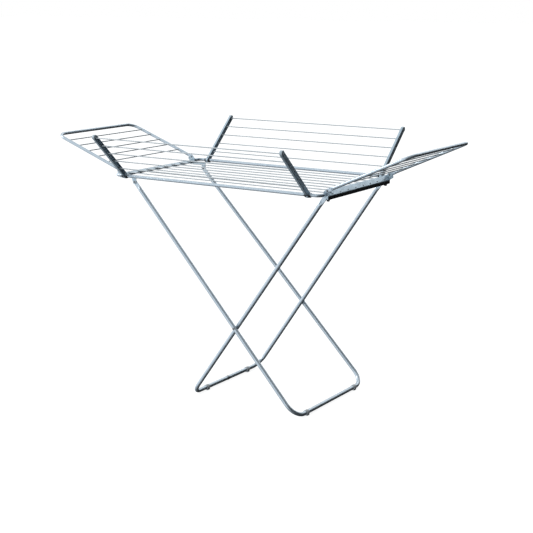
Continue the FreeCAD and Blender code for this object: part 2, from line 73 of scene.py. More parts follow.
class Body(Enum):
    """The rigid bodies that the pieces ride on."""

    OUTER_LEGS = "outer_legs"
    INNER_LEGS = "inner_legs"
    DECK = "deck"
    FRONT_FLAP = "front_flap"
    REAR_FLAP = "rear_flap"
    LEFT_WING = "left_wing"
    RIGHT_WING = "right_wing"


class Slot(Enum):
    """The record's material slots."""

    TUBE = "tube_paint"
    SHEET = "sheet_paint"
    ROD = "rod_coating"
    CAP = "cap_plastic"
    CLIP = "clip_plastic"
    RIVET = "rivet_steel"
    SPRING = "spring_wire"
    BRACKET = "bracket_steel"


# ---------------------------------------------------------------- node building
# A Mix node has several sockets of each name, so its colour sockets are found by number.
MIX_FACTOR, MIX_FIRST, MIX_SECOND, MIX_RESULT = 0, 6, 7, 2


class NodeBuilder:
    """Adds and links nodes in one node tree."""

    def __init__(self, tree: bpy.types.NodeTree) -> None:
        """Keeps the tree to fill."""
        self.tree = tree

    def feed(self, socket: bpy.types.NodeSocket, value: object) -> None:
        """Links an output socket to an input, or sets the input's value.

        Args:
            socket: The input.
            value: An output socket or a plain value.
        """
        if isinstance(value, bpy.types.NodeSocket):
            self.tree.links.new(value, socket)
        else:
            socket.default_value = value

    def add(self, kind: str, inputs: Optional[dict] = None, **settings: object) -> bpy.types.Node:
        """Adds one node.

        Args:
            kind: The node's type name.
            inputs: Values or output sockets by input name or number.
            **settings: Attributes set on the node first.

        Returns:
            The new node.
        """
        node = self.tree.nodes.new(kind)
        for name, value in settings.items():
            setattr(node, name, value)
        for key, value in (inputs or {}).items():
            self.feed(node.inputs[key], value)
        return node

    def math(self, operation: str, first: object, second: object,
             clamp: bool = False) -> bpy.types.NodeSocket:
        """Returns the result of a Math node on two numbers or sockets."""
        node = self.add("ShaderNodeMath", {0: first, 1: second}, operation=operation, use_clamp=clamp)
        return node.outputs[0]

    def ranged(self, value: object, start: float, end: float, low: float = 0.0, high: float = 1.0,
               smooth: bool = False) -> bpy.types.NodeSocket:
        """Maps one range of values onto another.

        Args:
            value: The value's socket.
            start: The value that gives low.
            end: The value that gives high.
            low: The result at start.
            high: The result at end.
            smooth: Whether the result eases in and out.

        Returns:
            The result socket.
        """
        kind = "SMOOTHSTEP" if smooth else "LINEAR"
        sockets = {"Value": value, "From Min": start, "From Max": end, "To Min": low, "To Max": high}
        return self.add("ShaderNodeMapRange", sockets, interpolation_type=kind).outputs["Result"]

    def mixed(self, factor: object, first: object, second: object) -> bpy.types.NodeSocket:
        """Mixes two colours.

        Args:
            factor: The mix factor.
            first: The colour at 0.
            second: The colour at 1.

        Returns:
            The mixed colour's socket.
        """
        node = self.add("ShaderNodeMix", data_type="RGBA")
        for key, value in ((MIX_FACTOR, factor), (MIX_FIRST, first), (MIX_SECOND, second)):
            self.feed(node.inputs[key], (*value, 1.0) if isinstance(value, tuple) else value)
        return node.outputs[MIX_RESULT]

    def seen_by_camera(self, seen: bpy.types.NodeSocket, other: bpy.types.NodeSocket) -> bpy.types.NodeSocket:
        """Mixes two shaders so that only the camera sees the first.

        Args:
            seen: The shader for the camera.
            other: The shader for every other ray.

        Returns:
            The mixed shader's socket.
        """
        path = self.add("ShaderNodeLightPath")
        mixed = self.add("ShaderNodeMixShader", {0: path.outputs["Is Camera Ray"], 1: other, 2: seen})
        return mixed.outputs[0]


def fresh_nodes(block: object) -> NodeBuilder:
    """Empties the node tree of a material or a world.

    Args:
        block: The material or world.

    Returns:
        A builder for its tree.
    """
    block.use_nodes = True
    block.node_tree.nodes.clear()
    return NodeBuilder(block.node_tree)


def shader_group(name: str, inputs: dict[str, tuple[str, object]], outputs: dict[str, str],
                 fill: Callable[[NodeBuilder, bpy.types.Node, bpy.types.Node], None]) -> bpy.types.NodeTree:
    """Builds a shader node group once, or finds it.

    Args:
        name: The group's name.
        inputs: Socket type and default value by input name.
        outputs: Socket type by output name.
        fill: A function that adds the nodes between the group's input and output nodes.

    Returns:
        The group.
    """
    found = bpy.data.node_groups.get(name)
    if found:
        return found
    tree = bpy.data.node_groups.new(name, "ShaderNodeTree")
    for label, (kind, value) in inputs.items():
        socket = tree.interface.new_socket(label, in_out="INPUT", socket_type=kind)
        socket.default_value = value
    for label, kind in outputs.items():
        tree.interface.new_socket(label, in_out="OUTPUT", socket_type=kind)
    build = NodeBuilder(tree)
    fill(build, build.add("NodeGroupInput"), build.add("NodeGroupOutput"))
    return tree


def fill_coat(build: NodeBuilder, given: bpy.types.Node, out: bpy.types.Node) -> None:
    """Fills the coat group: orange peel, slow shade drift and fine specks of a sprayed or plated skin.

    Args:
        build: The group's builder.
        given: The group input node.
        out: The group output node.
    """
    place = build.add("ShaderNodeTexCoord").outputs["Object"]
    peel = build.add("ShaderNodeTexNoise", {"Vector": place, "Scale": given.outputs["Peel Scale"],
                                            "Detail": 3.0, "Roughness": 0.6})
    drift = build.add("ShaderNodeTexNoise", {"Vector": place, "Scale": given.outputs["Drift Scale"],
                                             "Detail": 4.0, "Roughness": 0.55})
    speck = build.add("ShaderNodeTexVoronoi", {"Vector": place, "Scale": given.outputs["Speck Scale"]})
    build.feed(out.inputs["Height"], peel.outputs["Fac"])
    build.feed(out.inputs["Drift"], build.ranged(drift.outputs["Fac"], 0.35, 0.68))
    build.feed(out.inputs["Speck"], build.ranged(speck.outputs["Distance"], 0.16, 0.05))


def fill_wear(build: NodeBuilder, given: bpy.types.Node, out: bpy.types.Node) -> None:
    """Fills the wear group: rubbed streaks along one direction and dust that settles on upward faces.

    Args:
        build: The group's builder.
        given: The group input node.
        out: The group output node.
    """
    place = build.add("ShaderNodeTexCoord").outputs["Object"]
    stretched = build.add("ShaderNodeMapping", {"Vector": place, "Scale": given.outputs["Streak Stretch"]})
    streak = build.add("ShaderNodeTexNoise", {"Vector": stretched.outputs[0],
                                              "Scale": given.outputs["Streak Scale"], "Detail": 5.0,
                                              "Roughness": 0.65, "Distortion": 0.2})
    rubbed = build.ranged(streak.outputs["Fac"], 0.60, 0.74)
    normal = build.add("ShaderNodeNewGeometry").outputs["Normal"]
    facing = build.ranged(build.add("ShaderNodeSeparateXYZ", {0: normal}).outputs["Z"], 0.35, 1.0)
    patches = build.add("ShaderNodeTexNoise", {"Vector": place, "Scale": given.outputs["Dust Scale"],
                                               "Detail": 6.0, "Roughness": 0.7})
    dust = build.math("MULTIPLY", facing, patches.outputs["Fac"], clamp=True)
    for label, mask, amount in (("Rubbed", rubbed, "Streak Amount"), ("Dust", dust, "Dust Amount")):
        build.feed(out.inputs[label], build.math("MULTIPLY", mask, given.outputs[amount], clamp=True))


def coat_group() -> bpy.types.NodeTree:
    """Returns the shared coat group."""
    number = "NodeSocketFloat"
    return shader_group("sprayed_coat", {"Peel Scale": (number, 900.0), "Drift Scale": (number, 14.0),
                                         "Speck Scale": (number, 500.0)},
                        {"Height": number, "Drift": number, "Speck": number}, fill_coat)


def wear_group() -> bpy.types.NodeTree:
    """Returns the shared wear group."""
    number = "NodeSocketFloat"
    return shader_group("handling_wear", {"Streak Stretch": ("NodeSocketVector", (1.0, 1.0, 1.0)),
                                          "Streak Scale": (number, 60.0), "Streak Amount": (number, 0.4),
                                          "Dust Scale": (number, 90.0), "Dust Amount": (number, 0.3)},
                        {"Rubbed": number, "Dust": number}, fill_wear)


# ---------------------------------------------------------------- finishes
@dataclass(frozen=True)
class Finish:
    """One finish, turned into a material by its own nodes."""

    name: str
    color: Triple
    shade: Triple
    rubbed: Triple
    metallic: float
    rubbed_metallic: float
    roughness: float
    rubbed_roughness: float
    bump: float = 0.15
    bump_depth: float = 0.0002
    rub_depth: float = 0.35
    peel_scale: float = 900.0
    drift_scale: float = 14.0
    drift_roughness: tuple[float, float] = (-0.03, 0.05)
    speck_scale: float = 520.0
    speck_strength: float = 0.25
    streak_stretch: Triple = (1.0, 1.0, 1.0)
    streak_scale: float = 60.0
    streak_amount: float = 0.4
    dust: Triple = (0.62, 0.60, 0.56)
    dust_amount: float = 0.25
    dust_roughness: float = 0.5
    coat: float = 0.0
    coat_roughness: float = 0.15

    def material(self) -> bpy.types.Material:
        """Makes this finish's material on first use.

        Returns:
            The material.
        """
        found = bpy.data.materials.get(self.name)
        if found:
            return found
        made = bpy.data.materials.new(self.name)
        build = fresh_nodes(made)
        coat = build.add("ShaderNodeGroup", {}, node_tree=coat_group())
        for label, value in (("Peel Scale", self.peel_scale), ("Drift Scale", self.drift_scale),
                             ("Speck Scale", self.speck_scale)):
            coat.inputs[label].default_value = value
        wear = build.add("ShaderNodeGroup", {}, node_tree=wear_group())
        for label, value in (("Streak Stretch", self.streak_stretch), ("Streak Scale", self.streak_scale),
                             ("Streak Amount", self.streak_amount), ("Dust Amount", self.dust_amount)):
            wear.inputs[label].default_value = value
        drift, rubbed, dust = coat.outputs["Drift"], wear.outputs["Rubbed"], wear.outputs["Dust"]
        speck = build.math("MULTIPLY", coat.outputs["Speck"], self.speck_strength, clamp=True)
        base = build.mixed(drift, self.color, self.shade)
        for mask, color in ((speck, self.shade), (rubbed, self.rubbed), (dust, self.dust)):
            base = build.mixed(mask, base, color)
        rough = build.ranged(rubbed, 0.0, 1.0, self.roughness, self.rubbed_roughness)
        rough = build.math("ADD", rough, build.math("MULTIPLY", dust, self.dust_roughness), clamp=True)
        rough = build.math("ADD", rough, build.ranged(drift, 0.0, 1.0, *self.drift_roughness), clamp=True)
        hollow = build.math("MULTIPLY", rubbed, self.rub_depth)
        height = build.math("SUBTRACT", coat.outputs["Height"], hollow)
        bump = build.add("ShaderNodeBump", {"Height": height, "Strength": self.bump,
                                            "Distance": self.bump_depth})
        shader = build.add("ShaderNodeBsdfPrincipled", {
            "Base Color": base, "Roughness": rough, "Normal": bump.outputs["Normal"],
            "Metallic": build.ranged(rubbed, 0.0, 1.0, self.metallic, self.rubbed_metallic),
            "Coat Weight": self.coat, "Coat Roughness": self.coat_roughness,
        })
        build.add("ShaderNodeOutputMaterial", {"Surface": shader.outputs["BSDF"]})
        return made


FINISHES: dict[Slot, Finish] = {
    Slot.TUBE: Finish(
        "silver_blue_tube_paint", color=(0.60, 0.69, 0.77), shade=(0.53, 0.62, 0.70),
        rubbed=(0.66, 0.72, 0.76), metallic=0.62, rubbed_metallic=0.80, roughness=0.24, rubbed_roughness=0.34,
        streak_scale=38.0, streak_stretch=(1.0, 1.0, 0.6), streak_amount=0.45, coat=0.25),
    Slot.SHEET: Finish(
        "silver_blue_sheet_paint", color=(0.50, 0.62, 0.71), shade=(0.42, 0.53, 0.61),
        rubbed=(0.58, 0.66, 0.72), metallic=0.60, rubbed_metallic=0.8, roughness=0.32, rubbed_roughness=0.40,
        drift_scale=30.0, streak_scale=70.0, streak_amount=0.55, coat=0.2),
    Slot.ROD: Finish(
        "pale_rod_coating", color=(0.70, 0.75, 0.78), shade=(0.62, 0.67, 0.70), rubbed=(0.52, 0.56, 0.59),
        metallic=0.20, rubbed_metallic=0.5, roughness=0.40, rubbed_roughness=0.48, drift_scale=22.0,
        streak_scale=26.0, streak_amount=0.35, dust_amount=0.12),
    Slot.CAP: Finish(
        "blue_grey_cap_plastic", color=(0.52, 0.62, 0.69), shade=(0.46, 0.56, 0.63),
        rubbed=(0.66, 0.72, 0.76), metallic=0.0, rubbed_metallic=0.0, roughness=0.42, rubbed_roughness=0.55,
        bump=0.25, peel_scale=1600.0, dust_amount=0.2),
    Slot.CLIP: Finish(
        "grey_clip_plastic", color=(0.62, 0.66, 0.69), shade=(0.54, 0.58, 0.61),
        rubbed=(0.34, 0.34, 0.33), metallic=0.0, rubbed_metallic=0.0, roughness=0.48, rubbed_roughness=0.62,
        bump=0.25, peel_scale=1500.0, streak_amount=0.6, dust_amount=0.35),
    Slot.RIVET: Finish(
        "dull_rivet_steel", color=(0.30, 0.32, 0.34), shade=(0.20, 0.21, 0.22), rubbed=(0.50, 0.51, 0.52),
        metallic=0.95, rubbed_metallic=1.0, roughness=0.34, rubbed_roughness=0.26, bump=0.3,
        streak_scale=260.0, streak_amount=0.7, dust_amount=0.1),
    Slot.SPRING: Finish(
        "black_spring_wire", color=(0.022, 0.024, 0.028), shade=(0.012, 0.013, 0.016),
        rubbed=(0.20, 0.20, 0.20), metallic=0.5, rubbed_metallic=0.9, roughness=0.36, rubbed_roughness=0.30,
        streak_scale=160.0, streak_amount=0.4, dust_amount=0.12),
    # A near-black finish that is painted shade: it darkens the right channel's web and the leg top catches.
    Slot.BRACKET: Finish(
        "painted_shade_dark_paint", color=(0.030, 0.034, 0.040), shade=(0.018, 0.020, 0.024),
        rubbed=(0.20, 0.21, 0.23), metallic=0.2, rubbed_metallic=0.8, roughness=0.42, rubbed_roughness=0.36,
        streak_scale=120.0, streak_amount=0.6, dust_amount=0.15),
}


# ---------------------------------------------------------------- pieces
def add_object(name: str, data: object) -> bpy.types.Object:
    """Makes an object around its data and links it to the scene.

    Args:
        name: The object's name.
        data: Its mesh, light or camera.

    Returns:
        The object.
    """
    thing = bpy.data.objects.new(name, data)
    bpy.context.scene.collection.objects.link(thing)
    return thing


def bake_modifiers(thing: bpy.types.Object) -> None:
    """Turns an object's modifiers into plain mesh.

    Args:
        thing: The object.
    """
    bpy.context.view_layer.update()
    evaluated = thing.evaluated_get(bpy.context.evaluated_depsgraph_get())
    baked = bpy.data.meshes.new_from_object(evaluated)
    thing.modifiers.clear()
    thing.data = baked


def dress(thing: bpy.types.Object, slot: Slot, body: Body, replaced: Sequence[str] = ()) -> bpy.types.Object:
    """Gives a piece its finish, its body and its place in the frame.

    Args:
        thing: The piece.
        slot: The material slot.
        body: The body it rides on.
        replaced: CAD nodes it stands for.

    Returns:
        The same piece.
    """
    thing.data.materials.clear()
    thing.data.materials.append(FINISHES[slot].material())
    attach(thing, body.value)
    if replaced:
        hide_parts(*replaced)
    LOG.info("%s rides on %s", thing.name, body.value)
    return thing


@dataclass
class Shell:
    """Vertices and faces gathered from several parts of one piece."""

    vertices: list[Vector] = field(default_factory=list)
    faces: list[list[int]] = field(default_factory=list)

    def add(self, vertices: Iterable[Vector], faces: Iterable[Sequence[int]]) -> None:
        """Adds one closed part.

        Args:
            vertices: Its corner points.
            faces: Its faces, counted from its own first corner.
        """
        first = len(self.vertices)
        self.vertices.extend(vertices)
        self.faces.extend([first + index for index in face] for face in faces)

    def rings(self, rings: Sequence[Sequence[Vector]], closed: bool = False) -> None:
        """Adds the skin over a row of rings with equal counts, capped at both ends or joined in a loop.

        Args:
            rings: The rings of points.
            closed: Whether the last ring joins the first.
        """
        count = len(rings[0])
        faces: list[list[int]] = []
        last = len(rings) if closed else len(rings) - 1
        for row in range(last):
            low, high = row * count, ((row + 1) % len(rings)) * count
            for side in range(count):
                after = (side + 1) % count
                faces.append([low + side, low + after, high + after, high + side])
        if not closed:
            faces.append(list(range(count))[::-1])
            faces.append([(len(rings) - 1) * count + side for side in range(count)])
        self.add([point for ring in rings for point in ring], faces)

    def prism(self, outline: Sequence[Vector], along: Vector) -> None:
        """Adds a flat outline pushed along a vector."""
        self.rings([list(outline), [point + along for point in outline]])

    def place(self, name: str, slot: Slot, body: Body, replaced: Sequence[str] = (), bevel: float = 0.0,
              sharp: float = 40.0) -> bpy.types.Object:
        """Makes one finished piece from the gathered parts.

        Args:
            name: The piece's name.
            slot: The material slot.
            body: The body it rides on.
            replaced: CAD nodes it stands for.
            bevel: Width in metres of rounded edges, or 0.
            sharp: Faces that meet at more than this angle, in degrees, keep a crisp edge.

        Returns:
            The piece.
        """
        mesh = bpy.data.meshes.new(name)
        mesh.from_pydata([tuple(point) for point in self.vertices], [], self.faces)
        shape = bmesh.new()
        shape.from_mesh(mesh)
        bmesh.ops.remove_doubles(shape, verts=shape.verts, dist=1e-6)
        bmesh.ops.recalc_face_normals(shape, faces=shape.faces)
        shape.to_mesh(mesh)
        shape.free()
        thing = add_object(name, mesh)
        if bevel:
            rounding = thing.modifiers.new("rounded_edges", "BEVEL")
            rounding.width = bevel
            rounding.segments = 2
            rounding.limit_method = "ANGLE"
            rounding.angle_limit = math.radians(sharp)
            bake_modifiers(thing)
        thing.data.shade_smooth()
        thing.data.set_sharp_from_angle(angle=math.radians(sharp))
        return dress(thing, slot, body, replaced)


# ---------------------------------------------------------------- sections and routes
# The most of a run that the bend at its end may take.
BEND_SHARE = 0.49


def arc(start: float, sweep: float, steps: int) -> list[float]:
    """Returns evenly spread angles in radians, ends included, from a start and a sweep in degrees."""
    return [math.radians(start + sweep * step / steps) for step in range(steps + 1)]


def section(centre: Vector, across: Vector, up: Vector, half_across: float, half_up: float,
            sides: int = ROUND_SIDES, power: float = 2.0) -> list[Vector]:
    """Makes one rounded cross-section.

    Args:
        centre: Its centre.
        across: Unit vector of its first axis.
        up: Unit vector of its second axis.
        half_across: Half its size along the first axis.
        half_up: Half its size along the second axis.
        sides: Its number of corners.
        power: 2 for an ellipse, more for a squarer shape.

    Returns:
        The ring's points.
    """
    points = []
    for number in range(sides):
        turn = 2.0 * math.pi * number / sides
        cosine, sine = math.cos(turn), math.sin(turn)
        wide = math.copysign(abs(cosine) ** (2.0 / power), cosine) * half_across
        high = math.copysign(abs(sine) ** (2.0 / power), sine) * half_up
        points.append(centre + across * wide + up * high)
    return points


def rounded_route(corners: Sequence[Vector], radius: float, steps: int) -> list[Vector]:
    """Rounds the inner corners of a polyline.

    Args:
        corners: The polyline.
        radius: The bend radius.
        steps: Number of pieces in each bend.

    Returns:
        The route's points.
    """
    route = [corners[0]]
    for before, corner, after in zip(corners, corners[1:], corners[2:]):
        back, ahead = (before - corner).normalized(), (after - corner).normalized()
        half = back.angle(ahead) / 2.0
        cut = min(radius / math.tan(half), BEND_SHARE * (before - corner).length,
                  BEND_SHARE * (after - corner).length)
        centre = corner + (back + ahead).normalized() * (cut / math.cos(half))
        first, last = corner + back * cut - centre, corner + ahead * cut - centre
        for step in range(steps + 1):
            way = first.normalized().slerp(last.normalized(), step / steps)
            route.append(centre + way * first.length)
    route.append(corners[-1])
    return route


def heading(route: Sequence[Vector], number: int) -> Vector:
    """Returns the unit direction of a route at one of its points."""
    return (route[min(number + 1, len(route) - 1)] - route[max(number - 1, 0)]).normalized()


def wire(shell: Shell, route: Sequence[Vector], radius: float, sides: int) -> None:
    """Adds a round wire with slightly rounded ends along a route.

    Args:
        shell: The shell to fill.
        route: The route's points.
        radius: The wire's radius.
        sides: Corners of its cross-section.
    """
    tip, nose = 0.55 * radius, 0.35 * radius
    rings = []
    last = len(route) - 1
    across = heading(route, 0).orthogonal().normalized()
    for number, point in enumerate(route):
        ahead = heading(route, number)
        across = (across - ahead * across.dot(ahead)).normalized()
        up = ahead.cross(across)
        if number == 0:
            rings.append(section(point, across, up, tip, tip, sides))
            rings.append(section(point + ahead * nose, across, up, radius, radius, sides))
        elif number == last:
            rings.append(section(point - ahead * nose, across, up, radius, radius, sides))
            rings.append(section(point, across, up, tip, tip, sides))
        else:
            rings.append(section(point, across, up, radius, radius, sides))
    shell.rings(rings)


def folded_sheet(corners: Sequence[Vector], bend: float, normal: Vector) -> list[Vector]:
    """Makes the closed outline of a bent sheet from its middle line.

    Args:
        corners: The middle line's corners, in one plane.
        bend: The bend radius of the middle line.
        normal: Unit normal of the plane.

    Returns:
        The outline's points.
    """
    line = rounded_route(corners, bend, 5)
    left, right = [], []
    for number, point in enumerate(line):
        side = normal.cross(heading(line, number)) * SHEET / 2
        left.append(point + side)
        right.append(point - side)
    return left + right[::-1]


# ---------------------------------------------------------------- geometry node trees
class RepeatTree:
    """A geometry node tree with named inputs, made once and used through a modifier that is then baked."""

    def __init__(self, name: str, inputs: dict[str, str]) -> None:
        """Starts the tree.

        Args:
            name: The tree's name.
            inputs: Socket type by input name.
        """
        self.tree = bpy.data.node_groups.new(name, "GeometryNodeTree")
        self.tree.interface.new_socket("Geometry", in_out="INPUT", socket_type="NodeSocketGeometry")
        self.identifiers: dict[str, str] = {}
        for label, kind in {**inputs, "Material": "NodeSocketMaterial"}.items():
            socket = self.tree.interface.new_socket(label, in_out="INPUT", socket_type=kind)
            self.identifiers[label] = socket.identifier
        self.tree.interface.new_socket("Geometry", in_out="OUTPUT", socket_type="NodeSocketGeometry")
        self.build = NodeBuilder(self.tree)
        self.given = self.build.add("NodeGroupInput").outputs

    def joined(self, *parts: bpy.types.Node) -> bpy.types.NodeSocket:
        """Joins the geometry of several nodes.

        Args:
            *parts: The nodes.

        Returns:
            The joined geometry's socket.
        """
        join = self.build.add("GeometryNodeJoinGeometry")
        for part in parts:
            self.tree.links.new(part.outputs[0], join.inputs[0])
        return join.outputs[0]

    def close(self, instances: bpy.types.NodeSocket) -> None:
        """Realizes, smooths and dresses the instances, and ends the tree.

        Args:
            instances: The instances' socket.
        """
        real = self.build.add("GeometryNodeRealizeInstances", {"Geometry": instances})
        smooth = self.build.add("GeometryNodeSetShadeSmooth", {"Geometry": real.outputs[0]})
        dressed = self.build.add("GeometryNodeSetMaterial", {"Geometry": smooth.outputs[0],
                                                             "Material": self.given["Material"]})
        self.build.add("NodeGroupOutput", {0: dressed.outputs[0]})

    def make(self, name: str, slot: Slot, body: Body, replaced: Sequence[str], values: dict[str, object],
             seeds: Sequence[tuple[Vector, Vector]] = ()) -> bpy.types.Object:
        """Runs the tree and bakes its result into one piece.

        Args:
            name: The piece's name.
            slot: The material slot.
            body: The body it rides on.
            replaced: CAD nodes it stands for.
            values: Input values by name.
            seeds: Places and directions that the tree reads as points with a "way".

        Returns:
            The piece.
        """
        mesh = bpy.data.meshes.new(name)
        mesh.from_pydata([tuple(place) for place, _ in seeds], [], [])
        if seeds:
            way = mesh.attributes.new("way", "FLOAT_VECTOR", "POINT")
            for number, (_, direction) in enumerate(seeds):
                way.data[number].vector = direction
        thing = add_object(name, mesh)
        modifier = thing.modifiers.new("repeat", "NODES")
        modifier.node_group = self.tree
        for label, value in {**values, "Material": FINISHES[slot].material()}.items():
            modifier[self.identifiers[label]] = value
        bake_modifiers(thing)
        thing.data.set_sharp_from_angle(angle=math.radians(50.0))
        return dress(thing, slot, body, replaced)


def rod_row_tree() -> RepeatTree:
    """Builds the tree for a row of equal round rods, each with a weld collar near both ends.

    Returns:
        The tree.
    """
    number, vector = "NodeSocketFloat", "NodeSocketVector"
    repeat = RepeatTree("rod_row", {
        "Count": "NodeSocketInt", "Half Length": number, "First": vector, "Pitch": vector, "Along": vector,
        "Collar Radius": number, "Collar Place": number,
    })
    build, given = repeat.build, repeat.given
    places = build.add("GeometryNodeMeshLine", {"Count": given["Count"], "Start Location": given["First"],
                                                "Offset": given["Pitch"]})

    def scaled(factor: bpy.types.NodeSocket, sign: float) -> bpy.types.NodeSocket:
        """Returns the rods' direction scaled to a signed length."""
        sockets = {0: given["Along"], "Scale": build.math("MULTIPLY", factor, sign)}
        return build.add("ShaderNodeVectorMath", sockets, operation="SCALE").outputs[0]

    start, end = (scaled(given["Half Length"], sign) for sign in SIGNS)
    line = build.add("GeometryNodeCurvePrimitiveLine", {"Start": start, "End": end})
    profile = build.add("GeometryNodeCurvePrimitiveCircle", {"Resolution": 14, "Radius": ROD_RADIUS})
    rod = build.add("GeometryNodeCurveToMesh", {"Curve": line.outputs[0], "Profile Curve": profile.outputs[0],
                                                "Fill Caps": True})
    collar = build.add("GeometryNodeMeshUVSphere", {"Segments": 12, "Rings": 7,
                                                    "Radius": given["Collar Radius"]})
    collars = [build.add("GeometryNodeTransform", {"Geometry": collar.outputs[0],
                                                   "Translation": scaled(given["Collar Place"], sign)})
               for sign in SIGNS]
    spread = build.add("GeometryNodeInstanceOnPoints", {"Points": places.outputs[0],
                                                        "Instance": repeat.joined(rod, *collars)})
    repeat.close(spread.outputs[0])
    return repeat


# Sizes of a rivet head in rivet head radii.
DOME_RISE = 0.45
WASHER_RADIUS = 1.28
WASHER_DEPTH = 0.22


def rivet_tree() -> RepeatTree:
    """Builds the tree for domed rivet heads with a washer, one at each seed point, facing its way.

    Returns:
        The tree.
    """
    repeat = RepeatTree("rivet_heads", {"Radius": "NodeSocketFloat"})
    build, given = repeat.build, repeat.given
    ball = build.add("GeometryNodeMeshUVSphere", {"Segments": 20, "Rings": 12, "Radius": given["Radius"]})
    dome = build.add("GeometryNodeTransform", {"Geometry": ball.outputs[0], "Scale": (1.0, 1.0, DOME_RISE)})
    washer = build.add("GeometryNodeMeshCylinder", {
        "Vertices": 24, "Radius": build.math("MULTIPLY", given["Radius"], WASHER_RADIUS),
        "Depth": build.math("MULTIPLY", given["Radius"], WASHER_DEPTH),
    })
    way = build.add("GeometryNodeInputNamedAttribute", {"Name": "way"}, data_type="FLOAT_VECTOR")
    turned = build.add("FunctionNodeAlignRotationToVector", {"Vector": way.outputs[0]}, axis="Z")
    spread = build.add("GeometryNodeInstanceOnPoints", {
        "Points": given["Geometry"], "Instance": repeat.joined(dome, washer), "Rotation": turned.outputs[0],
    })
    repeat.close(spread.outputs[0])
    return repeat


# ---------------------------------------------------------------- places from the frame
def corners_of(node: str) -> tuple[Vector, Vector]:
    """Returns the low and the high corner of a CAD node's box at rest."""
    low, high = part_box(node)
    return Vector(low), Vector(high)


def middle_of(node: str) -> Vector:
    """Returns the middle of a CAD node's box at rest."""
    low, high = corners_of(node)
    return (low + high) / 2


def joint_place(name: str) -> Vector:
    """Finds a joint's stated place.

    Args:
        name: The joint's name.

    Returns:
        Its place.
    """
    for joint in frame["record"]["behaviour"]["joints"]:
        if joint["name"] == name:
            return Vector(joint["pos_m"])
    raise KeyError(name)


# ---------------------------------------------------------------- repeated parts
@dataclass
class RodRow:
    """A row of equal rods with weld collars."""

    name: str
    body: Body
    node_prefix: str
    count: int
    first: Vector
    pitch: Vector
    along: Vector
    half_length: float
    collar_radius: float
    collar_inset: float

    def make(self, tree: RepeatTree) -> None:
        """Builds the row as one piece.

        Args:
            tree: The rod row tree.
        """
        nodes = [f"{self.node_prefix}_{number}" for number in range(1, self.count + 1)]
        tree.make(self.name, Slot.ROD, self.body, nodes, {
            "Count": self.count, "Half Length": self.half_length, "First": tuple(self.first),
            "Pitch": tuple(self.pitch), "Along": tuple(self.along), "Collar Radius": self.collar_radius,
            "Collar Place": self.half_length - self.collar_inset,
        })


@dataclass
class RivetHeads:
    """The heads of a pair of rivets, one at each side of the rack; a grip of 0 leaves out the inner heads."""

    name: str
    body: Body
    node: str
    inset: float = 2.1 * MM
    grip: float = 0.0
    radius: float = 4.4 * MM

    def make(self, tree: RepeatTree) -> None:
        """Builds the heads as one piece.

        Args:
            tree: The rivet head tree.
        """
        low, high = corners_of(self.node)
        middle = (low + high) / 2
        seeds = []
        for sign, face in zip(SIGNS, (low.y, high.y)):
            outside = Vector((middle.x, face - sign * self.inset, middle.z))
            seeds.append((outside, Y_AXIS * sign))
            if self.grip:
                seeds.append((outside - Y_AXIS * sign * self.grip, Y_AXIS * -sign))
        tree.make(self.name, Slot.RIVET, self.body, (self.node,), {"Radius": self.radius}, seeds)


